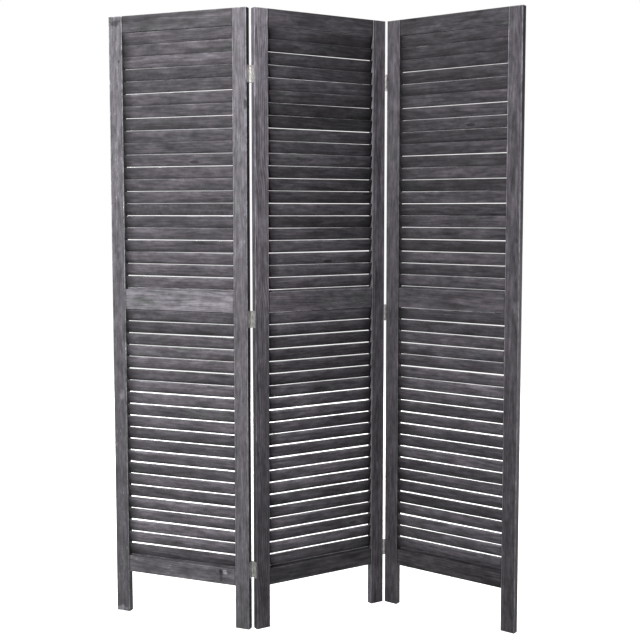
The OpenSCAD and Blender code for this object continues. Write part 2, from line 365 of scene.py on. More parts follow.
@dataclass(frozen=True)
class GrainPattern:
    """The node group that every stained board shares.

    Its input Grain is a point of the board in millimetres: along the grain, across it and
    through the board. Edge is the distance to the nearest arris. The pattern has growth rings
    round a pith behind the board, streaks and clouds of stain, pores, knots, scuffs and a worn
    arris.
    """

    streak: Layer = Layer(290.0, 7.5, 1.25)
    fine_streak: Layer = Layer(110.0, 2.3, 0.6, rough=0.6)
    cloud: Layer = Layer(75.0, 20.0, 2.3)
    blot: Layer = Layer(24.0, 9.0, 1.35)
    fibre: Layer = Layer(22.0, 0.8, 0.45, detail=1.0)
    pore: Layer = Layer(7.0, 0.5, 0.35, detail=0.0)
    scuff: Layer = Layer(16.0, 2.6, 0.8)
    rub: Layer = Layer(13.0, 2.2, 0.7)
    green_patch: Layer = Layer(120.0, 50.0, 0.5, detail=1.0)
    ring_wander: Layer = Layer(230.0, 58.0, 30.0, detail=1.0)
    ring_spacing: float = 5.6
    ring_taper: float = 0.03
    pith_spread: float = 36.0
    pith_depth: float = 9.0
    pith_depth_spread: float = 24.0
    rub_reach: float = 2.0
    rub_wander: float = 7.0
    knot_length: float = 150.0
    knot_width: float = 44.0
    knot_share: float = 0.8
    knot_depth: float = 0.66
    ring_push: float = 9.0
    darkest: float = 0.003
    violet: tuple[float, float, float] = (1.066, 0.968, 1.12)
    green: tuple[float, float, float] = (0.97, 1.01, 1.02)

    def group(self) -> bpy.types.NodeTree:
        """Builds the group.

        Returns:
            The node group, with the outputs Colour, Roughness and Height.
        """
        tree = bpy.data.node_groups.new("stained_grain", "ShaderNodeTree")
        face = tree.interface
        face.new_socket("Grain", in_out="INPUT", socket_type="NodeSocketVector")
        levels = ("Board", "Edge", "Tone", "Shade", "Mottle", "Wear", "Scuffs", "Knots", "Figure", "Green")
        for name in levels:
            face.new_socket(name, in_out="INPUT", socket_type="NodeSocketFloat")
        face.new_socket("Colour", in_out="OUTPUT", socket_type="NodeSocketColor")
        face.new_socket("Roughness", in_out="OUTPUT", socket_type="NodeSocketFloat")
        face.new_socket("Height", in_out="OUTPUT", socket_type="NodeSocketFloat")
        given = add_node(tree, "NodeGroupInput").outputs
        board, edge, tone, shade, mottle, wear, scuffs, knots, figure, green = (
            Reading(tree, given[name]) for name in levels
        )
        along, across, through = axes_of(tree, given["Grain"])
        point = joined(tree, along + board * 713.0, across + board * 97.0, through + board * 41.0)

        knot = self._knots(tree, point, knots)
        late = self._rings(tree, (along, across, through), point, board, knot)
        streak, fine, cloud, blot, fibre = (
            layer.read(tree, point)
            for layer in (self.streak, self.fine_streak, self.cloud, self.blot, self.fibre)
        )
        pore = self.pore.read(tree, point).rise(0.14, 0.22)
        scuff = self.scuff.read(tree, point).rise(0.12, 0.2) * cloud.rise(-0.02, 0.1) * scuffs
        rub = (edge + self.rub.read(tree, point) * self.rub_wander).rise(self.rub_reach, 0.1) * wear

        level = (
            tone
            * (streak * mottle * self.streak.strength + 1.0)
            * (fine * self.fine_streak.strength + 1.0)
            * (cloud * mottle * self.cloud.strength + 1.0)
            * (blot * self.blot.strength + 1.0)
            * (fibre * self.fibre.strength + 1.0)
            * (1.0 - late * figure)
            * (1.0 - pore * self.pore.strength)
            * (1.0 - knot.rise(0.35, 0.8) * self.knot_depth)
            * (scuff * self.scuff.strength + 1.0)
            * (rub * self.rub.strength + 1.0)
            * shade
        ).most(self.darkest)
        patch = self.green_patch.read(tree, point).rise(0.12, 0.24) * self.green_patch.strength
        hue = (patch + green + rub * 0.3).least(1.0)
        tint = mixed_colour(tree, hue, self.violet, self.green)
        colour = scaled(tree, tint, level)
        sheen = (0.62 + fibre * 0.25 + pore * 0.15 - rub * 0.12 - streak * 0.2).least(0.95)
        height = fibre * 0.10 + fine * 0.10 - pore * 0.10 + late * 0.04 - knot * 0.1 - rub * 0.08
        add_node(tree, "NodeGroupOutput", {"Colour": colour, "Roughness": sheen, "Height": height})
        return tree

    def _rings(
        self,
        tree: bpy.types.NodeTree,
        grain: tuple[Reading, Reading, Reading],
        point: bpy.types.NodeSocket,
        board: Reading,
        knot: Reading,
    ) -> Reading:
        """Reads the growth rings, which the board cuts lengthwise beside their pith.

        Args:
            tree: The group that takes the nodes.
            grain: The point along, across and through the board.
            point: The same point, moved by the board's own number.
            board: The board's own number.
            knot: The knots, which push the rings aside.

        Returns:
            1 in the late wood of each ring, falling to 0 in its early wood.
        """
        along, across, through = grain
        chance = add_node(tree, "ShaderNodeTexWhiteNoise", {"W": board}, noise_dimensions="1D").outputs[1]
        pith_chance, depth_chance, phase_chance = axes_of(tree, chance)
        wander = self.ring_wander.read(tree, point) * self.ring_wander.strength
        sideways = across + wander - (pith_chance - 0.5) * self.pith_spread
        deep = through + self.pith_depth + depth_chance * self.pith_depth_spread
        radius = (sideways * sideways + deep * deep).root() + along * self.ring_taper + knot * self.ring_push
        ring = (radius * (1.0 / self.ring_spacing) + phase_chance * 7.0).fraction()
        return ring.rise(0.3, 0.9) * ring.rise(1.0, 0.9)

    def _knots(self, tree: bpy.types.NodeTree, point: bpy.types.NodeSocket, amount: Reading) -> Reading:
        """Reads where the knots are.

        Args:
            tree: The group that takes the nodes.
            point: Where it is read, in millimetres.
            amount: 1 where the board may have knots and 0 where not.

        Returns:
            1 at a knot's heart, falling to 0 round it.
        """
        cell = (self.knot_length, self.knot_width, self.knot_length)
        place = add_node(tree, "ShaderNodeVectorMath", {0: point, 1: cell}, operation="DIVIDE").outputs[0]
        cells = add_node(tree, "ShaderNodeTexVoronoi", {"Vector": place, "Scale": 1.0}, feature="F1")
        present = axes_of(tree, cells.outputs["Color"])[0].above(self.knot_share)
        return Reading(tree, cells.outputs["Distance"]).rise(0.2, 0.02) * present * amount


GRAIN = GrainPattern().group()


@dataclass(frozen=True)
class Mark:
    """A knot, scrape or patch at a known place of a board, in millimetres along and across it."""

    along: float
    across: float
    length: float
    width: float
    tone: float
    green: float = 0.0

    def spread(self, grain: tuple[Reading, Reading, Reading]) -> Reading:
        """Reads how much of the mark there is, with a ragged edge.

        Args:
            grain: The point along, across and through the board.

        Returns:
            1 in the mark and 0 outside it.
        """
        tree = grain[0].tree
        a = (grain[0] - self.along) * (2 / self.length)
        b = (grain[1] - self.across) * (2 / self.width)
        ragged = noise(tree, joined(tree, *grain), (self.length / 3, self.width / 3, self.width / 3), 3.0)
        return ((a * a + b * b).root() + ragged * 1.8).rise(1.15, 0.6)


@dataclass(frozen=True)
class Stain:
    """A stained board's finish: how light it is and how it has worn.

    Tones are albedos, at the start and the end of the grain; on a stile they are partly painted light, lighter
    towards its top where the light falls off down the screen. The mottle is how streaked and cloudy the stain
    is. A stile's edge faces are painted lighter or darker than its front as painted light and shade, and the
    band along its arris is painted lighter as a painted highlight; both are shares of the front's tone.
    """

    first_tone_and_light: float
    last_tone_and_light: float
    mottle: float = 0.58
    wear: float = 1.0
    scuffs: float = 0.3
    knots: float = 1.0
    figure: float = 0.28
    green: float = 0.0
    gloss: float = 0.25
    # Painted light and shade: the tone of a stile's edge faces as a share of its front's.
    edge_face_light: float = 0.7
    # Painted highlight: the tone of the band along a stile's arris as a share of its front's.
    arris_highlight: float = 1.35
    marks: tuple[Mark, ...] = ()

    def surface(
        self,
        material: bpy.types.Material,
        grain: tuple[Reading, Reading, Reading],
        reach: tuple[float, float],
        edge: Reading,
        board: "Feed | Reading",
        shade: Reading,
    ) -> None:
        """Joins the shared grain to a material's shader.

        Args:
            material: The material that gets the finish.
            grain: The point along, across and through the board.
            reach: The board's start and end along its grain.
            edge: Distance to the nearest arris.
            board: The board's own number, which sets its grain apart from the others'.
            shade: What the tone is multiplied by for painted shade, painted highlights and stain gathered in
                joints.
        """
        tree = material.node_tree
        shader = tree.nodes["Principled BSDF"]
        green: Reading | float = self.green
        for mark in self.marks:
            spread = mark.spread(grain)
            shade = shade * (spread * (mark.tone - 1.0) + 1.0)
            green = spread * mark.green + green
        inputs = {
            "Grain": joined(tree, *grain),
            "Board": board,
            "Edge": edge,
            "Tone": grain[0].rise(*reach, self.first_tone_and_light, self.last_tone_and_light),
            "Shade": shade,
            "Mottle": self.mottle,
            "Wear": self.wear,
            "Scuffs": self.scuffs,
            "Knots": self.knots,
            "Figure": self.figure,
            "Green": green,
        }
        pattern = add_node(tree, "ShaderNodeGroup", node_tree=GRAIN)
        for name, value in inputs.items():
            feed(tree, pattern.inputs[name], value)
        bump = add_node(
            tree, "ShaderNodeBump", {"Strength": 0.7, "Distance": MM, "Height": pattern.outputs["Height"]}
        )
        shader.inputs["Specular IOR Level"].default_value = self.gloss
        tree.links.new(pattern.outputs["Colour"], shader.inputs["Base Color"])
        tree.links.new(pattern.outputs["Roughness"], shader.inputs["Roughness"])
        tree.links.new(bump.outputs[0], shader.inputs["Normal"])


def new_material(name: str) -> bpy.types.Material:
    """Starts a material.

    Args:
        name: The material's name.

    Returns:
        The material, with its shader and output in place.
    """
    material = bpy.data.materials.new(name)
    material.use_nodes = True
    return material


def dress(node: str, material: bpy.types.Material) -> None:
    """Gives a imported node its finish.

    Args:
        node: The node's name.
        material: The finish.
    """
    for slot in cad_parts[node].material_slots:
        slot.material = material


@dataclass(frozen=True)
class PanelSizes:
    """Sizes that the three panels share."""

    width: float = 425.0
    height: float = 1700.0
    stile_width: float = 42.0
    thickness: float = 19.0
    rail_recess: float = 1.0
    rail_heights: tuple[float, float, float] = (45.0, 56.0, 46.0)

    @property
    def rail_length(self) -> float:
        """Length of a rail between the stiles."""
        return self.width - 2 * self.stile_width


@dataclass(frozen=True)
class PanelPlace:
    """Where a panel stands: its front left corner on the floor, in metres, and its turn."""

    corner: Vector
    turn: float

    @classmethod
    def of(cls, panel: PanelName, sizes: PanelSizes) -> "PanelPlace":
        """Finds a panel from its two stiles.

        Args:
            panel: The panel.
            sizes: The panels' sizes.

        Returns:
            The panel's place.
        """
        left, right = (sum(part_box(f"{panel.value}_panel_{side.value}_stile"), Vector()) / 2 for side in Side)
        turn = math.atan2(right.y - left.y, right.x - left.x)
        half = Vector((sizes.width / 2, sizes.thickness / 2, 0.0)) * MM
        corner = (left + right) / 2 - Matrix.Rotation(turn, 3, "Z") @ half
        corner.z = 0.0
        return cls(corner, turn)

    def axes(self, tree: bpy.types.NodeTree) -> tuple[Reading, Reading, Reading]:
        """Reads a point in the panel's own frame.

        Args:
            tree: The material's tree.

        Returns:
            The point in millimetres: along the width, from front to back, and up.
        """
        coordinates = add_node(tree, "ShaderNodeTexCoord").outputs["Object"]
        back = Matrix.Rotation(-self.turn, 3, "Z") @ self.corner / MM
        inputs = {
            "Vector": coordinates,
            "Location": -back,
            "Rotation": (0.0, 0.0, -self.turn),
            "Scale": (1 / MM, 1 / MM, 1 / MM),
        }
        return axes_of(tree, add_node(tree, "ShaderNodeMapping", inputs).outputs[0])


def distance_inside(middle: float, half: float, axis: Reading) -> Reading:
    """Reads how far a point lies inside a board's faces on one axis.

    Args:
        middle: The board's middle on the axis.
        half: Half the board's size on it.
        axis: The point's place on it.

    Returns:
        The distance to the nearer face.
    """
    return abs(half - abs(axis - middle))


def distance_to_arris(a: Reading, b: Reading, c: Reading) -> Reading:
    """Reads the distance from a point on a board's surface to the nearest arris.

    Args:
        a: Distance to the board's faces on one axis.
        b: The same on the second axis.
        c: The same on the third axis.

    Returns:
        The middle one of the three.
    """
    return a.least(b).most(a.most(b).least(c))


@dataclass(frozen=True)
class Stile:
    """An upright of a panel, which runs down as a leg."""

    panel: PanelName
    side: Side
    place: PanelPlace
    sizes: PanelSizes
    stain: Stain
    board: float
    slot_shade_tone: float = 0.3
    face_band: float = 1.0
    arris_band: float = 2.8

    def dress(self) -> None:
        """Gives the stile its upright grain and rubbed edges, with painted light and shade on its edge faces,
        a painted highlight along each arris and painted shade inside its slots.
        """
        name = f"{self.panel.value}_panel_{self.side.value}_stile"
        material = new_material(f"{name}_stain")
        tree = material.node_tree
        x, y, z = self.place.axes(tree)
        half = self.sizes.stile_width / 2
        middle = half if self.side is Side.LEFT else self.sizes.width - half
        to_x = distance_inside(middle, half, x)
        to_y = distance_inside(self.sizes.thickness / 2, self.sizes.thickness / 2, y)
        to_z = distance_inside(self.sizes.height / 2, self.sizes.height / 2, z)
        inside = to_x.least(to_y).least(to_z)
        to_arris = distance_to_arris(to_x, to_y, to_z)
        # Painted light and shade: the edge faces are painted lighter or darker than the front, the insides of
        # the slots are painted dark as painted shade, and a band along each arris is painted lighter as a
        # painted highlight.
        edge_face_light = to_x.rise(self.face_band, 0.1, 1.0, self.stain.edge_face_light)
        slots = inside.rise(0.5, 1.2, 1.0, self.slot_shade_tone)
        shade = edge_face_light * slots * to_arris.rise(self.arris_band, 1.0, 1.0, self.stain.arris_highlight)
        grain = (z, x - middle, y - self.sizes.thickness / 2)
        self.stain.surface(material, grain, (0.0, self.sizes.height), to_arris, self.board, shade)
        dress(name, material)


@dataclass(frozen=True)
class Rail:
    """A cross board of a panel, dowelled between the stiles."""

    panel: PanelName
    level: Level
    place: PanelPlace
    sizes: PanelSizes
    stain: Stain
    board: float
    joint_stain_and_shadow_tone: float = 0.3
    joint_width: float = 3.6

    def dress(self) -> None:
        """Gives the rail its level grain, and a dark band at its ends: stain gathered in the joints and a
        painted shadow line.
        """
        name = f"{self.panel.value}_panel_{self.level.value}_rail"
        material = new_material(f"{name}_stain")
        tree = material.node_tree
        x, y, z = self.place.axes(tree)
        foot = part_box(name)[0].z / MM
        height = self.sizes.rail_heights[list(Level).index(self.level)]
        half_length = self.sizes.rail_length / 2
        middle = self.sizes.width / 2
        centre_y = self.sizes.thickness / 2
        to_x = distance_inside(middle, half_length, x)
        to_y = distance_inside(centre_y, centre_y - self.sizes.rail_recess, y)
        to_z = distance_inside(foot + height / 2, height / 2, z)
        # Stain gathered in the joints, with a painted shadow line: the rail's ends are painted darker.
        shade = to_x.rise(1.4, self.joint_width, self.joint_stain_and_shadow_tone, 1.0)
        grain = (x - middle, z - foot - height / 2, y - centre_y)
        self.stain.surface(material, grain, (-half_length, half_length), to_y.most(to_z), self.board, shade)
        dress(name, material)


def group_sockets(tree: bpy.types.NodeTree, sockets: dict[str, str]) -> bpy.types.Node:
    """Gives a tree its geometry output and its named inputs.

    Args:
        tree: The tree.
        sockets: The inputs' socket types, by name.

    Returns:
        The node that the inputs come from.
    """
    tree.interface.new_socket("Geometry", in_out="OUTPUT", socket_type="NodeSocketGeometry")
    for name, kind in sockets.items():
        tree.interface.new_socket(name, in_out="INPUT", socket_type=kind)
    return add_node(tree, "NodeGroupInput")


def made_by(tree: bpy.types.NodeTree, name: str, values: dict[str, object]) -> bpy.types.Object:
    """Runs a geometry tree once and keeps its result as a plain mesh.

    Args:
        tree: The tree.
        name: Name of the piece.
        values: The tree's inputs, by name.

    Returns:
        The finished object, at the origin and with no modifier.
    """
    piece = bpy.data.objects.new(name, bpy.data.meshes.new(name))
    bpy.context.scene.collection.objects.link(piece)
    modifier = piece.modifiers.new(tree.name, "NODES")
    modifier.node_group = tree
    for item in tree.interface.items_tree:
        if item.in_out == "INPUT":
            modifier[item.identifier] = values[item.name]
    depsgraph = bpy.context.evaluated_depsgraph_get()
    mesh = bpy.data.meshes.new_from_object(
        piece.evaluated_get(depsgraph), preserve_all_data_layers=True, depsgraph=depsgraph
    )
    piece.modifiers.clear()
    piece.data = mesh
    mesh.name = name
    return piece


@dataclass(frozen=True)
class SlatSizes:
    """A slat's section, the play it has in its slots, and its wear."""

    length: float = 356.0
    width: float = 33.5
    thickness: float = 6.0
    rounding: float = 2.4
    lean: float = math.radians(13.0)
    count: int = 21
    play: float = 0.85
    lean_play: float = math.radians(0.35)
    shift_share: float = 0.75
    tip_share: float = 0.5
    wear: float = 0.35
    worn_patch: Layer = Layer(26.0, 9.0)
    worn_edge: float = 5.0
    face_wear: float = 0.35
    section_points: int = 24
    lengthwise_parts: int = 22

    @property
    def drop(self) -> float:
        """Height that a leaning slat takes up."""
        straight = (self.width - 2 * self.rounding) * math.cos(self.lean)
        across = (self.thickness - 2 * self.rounding) * math.sin(self.lean)
        return straight + across + 2 * self.rounding


@dataclass(frozen=True)
class LouvreTree:
    """The geometry tree that makes a bank of slats in its panel."""

    sizes: SlatSizes

    def build(self) -> bpy.types.NodeTree:
        """Builds the tree.

        Returns:
            The tree, whose inputs are in metres and radians.
        """
        tree = bpy.data.node_groups.new("louvre_bank", "GeometryNodeTree")
        given = group_sockets(
            tree,
            {
                "Slats": "NodeSocketInt",
                "Spacing": "NodeSocketFloat",
                "Top slat": "NodeSocketVector",
                "Lean": "NodeSocketFloat",
                "Lean play": "NodeSocketFloat",
                "Length": "NodeSocketFloat",
                "Width": "NodeSocketFloat",
                "Thickness": "NodeSocketFloat",
                "Rounding": "NodeSocketFloat",
                "Play": "NodeSocketFloat",
                "Wear": "NodeSocketFloat",
                "Seed": "NodeSocketInt",
                "Panel corner": "NodeSocketVector",
                "Panel turn": "NodeSocketFloat",
                "Stain": "NodeSocketMaterial",
            },
        ).outputs
        blank = self._blank(tree, given)
        slats = self._hung(tree, given, blank)
        worn = self._worn(tree, given, slats)
        placed = add_node(
            tree,
            "GeometryNodeTransform",
            {
                "Geometry": worn,
                "Translation": given["Panel corner"],
                "Rotation": joined(tree, 0.0, 0.0, given["Panel turn"]),
            },
        )
        smooth = add_node(tree, "GeometryNodeSetShadeSmooth", {"Geometry": placed.outputs[0]})
        real = add_node(tree, "GeometryNodeRealizeInstances", {"Geometry": smooth.outputs[0]})
        stained = add_node(
            tree, "GeometryNodeSetMaterial", {"Geometry": real.outputs[0], "Material": given["Stain"]}
        )
        add_node(tree, "NodeGroupOutput", {0: stained.outputs[0]})
        return tree

    def _blank(self, tree: bpy.types.NodeTree, given: bpy.types.NodeOutputs) -> bpy.types.NodeSocket:
        """Makes one upright slat with rounded long edges, from a cylinder drawn out to its section.

        Args:
            tree: The tree.
            given: The tree's inputs.

        Returns:
            The slat's geometry, which also holds its own frame as the attribute grain.
        """
        tube = add_node(
            tree,
            "GeometryNodeMeshCylinder",
            {
                "Vertices": self.sizes.section_points,
                "Side Segments": self.sizes.lengthwise_parts,
                "Radius": 1.0,
                "Depth": given["Length"],
            },
        ).outputs["Mesh"]
        half_step = math.pi / self.sizes.section_points
        turned = add_node(
            tree, "GeometryNodeTransform", {"Geometry": tube, "Rotation": (0.0, 0.0, half_step)}
        ).outputs[0]
        sizes = ("Width", "Thickness", "Rounding")
        width, thickness, rounding = (Reading(tree, given[name]) for name in sizes)
        u, v, along = axes_of(tree, add_node(tree, "GeometryNodeInputPosition").outputs[0])
        through = u.sign() * (thickness * 0.5 - rounding) + u * rounding
        across = v.sign() * (width * 0.5 - rounding) + v * rounding
        place = joined(tree, along, through, across)
        shaped = add_node(tree, "GeometryNodeSetPosition", {"Geometry": turned, "Position": place}).outputs[0]
        own_place = scaled(tree, add_node(tree, "GeometryNodeInputPosition").outputs[0], 1 / MM)
        stored = add_node(
            tree,
            "GeometryNodeStoreNamedAttribute",
            {"Geometry": shaped, "Name": "grain", "Value": own_place},
            data_type="FLOAT_VECTOR",
        )
        return stored.outputs[0]

    def _random(
        self, tree: bpy.types.NodeTree, given: bpy.types.NodeOutputs, low: Feed, high: Feed, step: int
    ) -> Reading:
        """Draws a number for each slat.

        Args:
            tree: The tree.
            given: The tree's inputs.
            low: The lowest number.
            high: The highest number.
            step: Which of the slat's draws this is.

        Returns:
            The draw.
        """
        seed = Reading(tree, given["Seed"]) + float(step)
        node = add_node(tree, "FunctionNodeRandomValue", {2: low, 3: high, "Seed": seed}, data_type="FLOAT")
        return Reading(tree, node.outputs[1])

    def _kept(self, tree: bpy.types.NodeTree, name: str, kind: str) -> bpy.types.NodeSocket:
        """Reads an attribute that was stored before.

        Args:
            tree: The tree.
            name: The attribute's name.
            kind: Its data type.

        Returns:
            Its socket.
        """
        return add_node(tree, "GeometryNodeInputNamedAttribute", {"Name": name}, data_type=kind).outputs[0]

    def _hung(
        self, tree: bpy.types.NodeTree, given: bpy.types.NodeOutputs, blank: bpy.types.NodeSocket
    ) -> bpy.types.NodeSocket:
        """Hangs the slats in their slots, each with its own play.

        Args:
            tree: The tree.
            given: The tree's inputs.
            blank: One slat.

        Returns:
            The slats as one mesh, in the panel's frame.
        """
        step = joined(tree, 0.0, 0.0, Reading(tree, given["Spacing"]) * -1.0)
        line = add_node(
            tree,
            "GeometryNodeMeshLine",
            {"Count": given["Slats"], "Start Location": given["Top slat"], "Offset": step},
            mode="OFFSET",
        ).outputs[0]
        play = Reading(tree, given["Play"])
        shift, tip = (self._random(tree, given, -1.0, 1.0, draw) for draw in (1, 2))
        middle = shift.sign() * abs(shift).root() * self.sizes.shift_share
        tipped = tip * self.sizes.tip_share
        draws = {
            "lift_left": (middle + tipped).most(-1.0).least(1.0) * play,
            "lift_right": (middle - tipped).most(-1.0).least(1.0) * play,
            "slat": self._random(tree, given, 0.0, 50.0, 3),
        }
        for name, draw in draws.items():
            line = add_node(
                tree,
                "GeometryNodeStoreNamedAttribute",
                {"Geometry": line, "Name": name, "Value": draw},
                data_type="FLOAT",
            ).outputs[0]
        lean_play = Reading(tree, given["Lean play"])
        lean = self._random(tree, given, lean_play * -1.0, lean_play, 4) + given["Lean"]
        rotation = add_node(tree, "FunctionNodeEulerToRotation", {0: joined(tree, lean, 0.0, 0.0)}).outputs[0]
        hung = add_node(
            tree, "GeometryNodeInstanceOnPoints", {"Points": line, "Instance": blank, "Rotation": rotation}
        ).outputs[0]
        real = add_node(tree, "GeometryNodeRealizeInstances", {"Geometry": hung}).outputs[0]
        share = axes_of(tree, self._kept(tree, "grain", "FLOAT_VECTOR"))[0] * MM / given["Length"] + 0.5
        left, right = (Reading(tree, self._kept(tree, name, "FLOAT")) for name in ("lift_left", "lift_right"))
        lift = left + (right - left) * share
        lean = Reading(tree, given["Lean"])
        offset = joined(tree, 0.0, lean.sine() * lift * -1.0, lean.cosine() * lift)
        return add_node(tree, "GeometryNodeSetPosition", {"Geometry": real, "Offset": offset}).outputs[0]

    def _worn(
        self, tree: bpy.types.NodeTree, given: bpy.types.NodeOutputs, slats: bpy.types.NodeSocket
    ) -> bpy.types.NodeSocket:
        """Rubs the slats' faces down unevenly, and their front edges most.

        Args:
            tree: The tree.
            given: The tree's inputs.
            slats: The slats as one mesh.

        Returns:
            The worn slats.
        """
        slat = Reading(tree, self._kept(tree, "slat", "FLOAT"))
        along, through, across = axes_of(tree, self._kept(tree, "grain", "FLOAT_VECTOR"))
        point = joined(tree, along + slat * 211.0, through, across)
        front = self.sizes.width / 2
        edge = across.rise(front - self.sizes.worn_edge, front - 1.0, self.sizes.face_wear, 1.0)
        depth = self.sizes.worn_patch.read(tree, point).rise(-0.25, 0.25) * edge * given["Wear"]
        inward = scaled(tree, add_node(tree, "GeometryNodeInputNormal").outputs[0], depth * -1.0)
        return add_node(tree, "GeometryNodeSetPosition", {"Geometry": slats, "Offset": inward}).outputs[0]


@dataclass(frozen=True)
class SlatFinish:
    """The slats' stain: each slat takes its tone from its own number, and the upper ones are painted darker as
    painted shade.

    The slats' ends are painted darker as a painted shadow of the stiles, reaching further on the left, and
    each slat's front edge is painted lighter and its back edge darker as painted light and shade, most of all
    below the middle rail.
    """

    stain: Stain
    top_shade_share: float
    left_shadow_reach: float = 20.0
    right_shadow_reach: float = 20.0
    top: float = 1650.0
    foot: float = 200.0
    tone_spread: float = 0.4
    end_shadow_tone: float = 0.35
    end_shadow_start: float = 7.0
    front_light_back_shade: float = 0.28
    upper_light_and_shade_share: float = 0.3
    contrast_start: float = 850.0
    contrast_end: float = 1250.0

    def material(self, name: str, sizes: SlatSizes) -> bpy.types.Material:
        """Builds the finish of a panel's slats.

        Args:
            name: The material's name.
            sizes: The slats' sizes.

        Returns:
            The material, which reads the slats' attributes.
        """
        material = new_material(name)
        tree = material.node_tree
        own = add_node(tree, "ShaderNodeAttribute", attribute_name="grain").outputs["Vector"]
        along, through, across = axes_of(tree, own)
        slat = Reading(tree, add_node(tree, "ShaderNodeAttribute", attribute_name="slat").outputs["Fac"])
        chance = add_node(tree, "ShaderNodeTexWhiteNoise", {"W": slat + 0.5}, noise_dimensions="1D")
        own_tone = (Reading(tree, chance.outputs[0]) - 0.5) * (2 * self.tone_spread) + 1.0
        to_front = sizes.width / 2 - across
        half = sizes.length / 2
        # Painted shadow: the ends are painted darker where the stiles shade them.
        left = (along + half).rise(self.end_shadow_start, self.left_shadow_reach, self.end_shadow_tone, 1.0)
        right = (half - along).rise(self.end_shadow_start, self.right_shadow_reach, self.end_shadow_tone, 1.0)
        level = axes_of(tree, add_node(tree, "ShaderNodeTexCoord").outputs["Object"])[2]
        # Painted shade: the slats are painted darker towards the top.
        height_shade = level.rise(self.foot * MM, self.top * MM, 1.0, self.top_shade_share)
        # Painted light and shade: each slat's front edge is painted lighter and its back edge darker, fully
        # below the middle rail and less above it.
        upper_share = level.rise(self.contrast_start * MM, self.contrast_end * MM, 1.0, self.upper_light_and_shade_share)
        edge_light_and_shade = across * upper_share * (self.front_light_back_shade * 2 / sizes.width) + 1.0
        shade = own_tone * height_shade * left * right * edge_light_and_shade
        self.stain.surface(material, (along, across, through), (-half, half), to_front, slat, shade)
        return material


@dataclass(frozen=True)
class LouvreBank:
    """A bank of fixed slats between two rails."""

    panel: PanelName
    bank: Bank
    place: PanelPlace
    panel_sizes: PanelSizes
    sizes: SlatSizes
    seed: int

    def build(self, tree: bpy.types.NodeTree, stain: bpy.types.Material) -> bpy.types.Object:
        """Makes the bank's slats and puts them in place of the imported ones.

        Args:
            tree: The louvre tree.
            stain: The slats' finish.

        Returns:
            The bank as one piece.
        """
        name = f"{self.panel.value}_panel_{self.bank.value}_slats"
        nodes = [f"{name}_{level.value}" for level in Level]
        drop = self.sizes.drop * MM
        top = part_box(nodes[0])[1].z - drop / 2
        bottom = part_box(nodes[-1])[0].z + drop / 2
        middle = (self.panel_sizes.width / 2 * MM, self.panel_sizes.thickness / 2 * MM, top)
        piece = made_by(
            tree,
            name,
            {
                "Slats": self.sizes.count,
                "Spacing": (top - bottom) / (self.sizes.count - 1),
                "Top slat": middle,
                "Lean": self.sizes.lean,
                "Lean play": self.sizes.lean_play,
                "Length": self.sizes.length * MM,
                "Width": self.sizes.width * MM,
                "Thickness": self.sizes.thickness * MM,
                "Rounding": self.sizes.rounding * MM,
                "Play": self.sizes.play * MM,
                "Wear": self.sizes.wear * MM,
                "Seed": self.seed,
                "Panel corner": tuple(self.place.corner),
                "Panel turn": self.place.turn,
                "Stain": stain,
            },
        )
        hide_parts(*nodes)
        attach(piece, f"{self.panel.value}_panel")
        return piece


@dataclass(frozen=True)
class BareBeech:
    """Unstained beech, for the dowels inside the joints."""

    light: tuple[float, float, float] = (0.50, 0.33, 0.18)
    dark: tuple[float, float, float] = (0.33, 0.20, 0.10)

    def material(self, place: PanelPlace) -> bpy.types.Material:
        """Builds the finish for a panel's dowels, whose grain runs along the panel's width.

        Args:
            place: The panel's place.

        Returns:
            The material.
        """
        material = new_material("bare_beech")
        tree = material.node_tree
        shader = tree.nodes["Principled BSDF"]
        point = joined(tree, *place.axes(tree))
        streak = noise(tree, point, (30.0, 1.6, 1.6), 3.0)
        fleck = noise(tree, point, (4.0, 0.4, 0.4), 1.0)
        share = (streak * 2.2 + fleck * 0.8 + 0.5).rise(0.0, 1.0)
        colour = mixed_colour(tree, share, self.dark, self.light)
        bump = add_node(
            tree, "ShaderNodeBump", {"Strength": 0.5, "Distance": MM, "Height": fleck * 0.1 + streak * 0.1}
        )
        tree.links.new(colour, shader.inputs["Base Color"])
        feed(tree, shader.inputs["Roughness"], 0.65 + fleck * 0.3)
        tree.links.new(bump.outputs[0], shader.inputs["Normal"])
        return material


@dataclass(frozen=True)
class ZincPlate:
    """Bright zinc plating on pressed steel, a little dulled and scratched."""

    bright: tuple[float, float, float] = (0.56, 0.555, 0.54)
    dull: tuple[float, float, float] = (0.26, 0.255, 0.245)
    roughness: float = 0.42
    metal: float = 0.6

    def material(self, name: str) -> bpy.types.Material:
        """Builds the plating.

        Args:
            name: The material's name.

        Returns:
            The material.
        """
        material = new_material(name)
        tree = material.node_tree
        shader = tree.nodes["Principled BSDF"]
        coordinates = add_node(tree, "ShaderNodeTexCoord").outputs["Object"]
        point = add_node(
            tree, "ShaderNodeMapping", {"Vector": coordinates, "Scale": (1 / MM, 1 / MM, 1 / MM)}
        ).outputs[0]
        cloud = noise(tree, point, (7.0, 7.0, 9.0), 3.0, 0.6)
        brush = noise(tree, point, (0.5, 0.5, 14.0), 2.0)
        pit = noise(tree, point, (1.1, 1.1, 1.1), 1.0).rise(0.12, 0.22)
        share = (0.5 + cloud * 2.0 + brush * 1.2 - pit * 0.4).rise(0.0, 1.0)
        colour = mixed_colour(tree, share, self.dull, self.bright)
        bump = add_node(
            tree, "ShaderNodeBump", {"Strength": 0.5, "Distance": MM, "Height": brush * 0.04 - pit * 0.06}
        )
        shader.inputs["Metallic"].default_value = self.metal
        tree.links.new(colour, shader.inputs["Base Color"])
        feed(tree, shader.inputs["Roughness"], self.roughness - cloud * 0.3 + pit * 0.2)
        tree.links.new(bump.outputs[0], shader.inputs["Normal"])
        return material


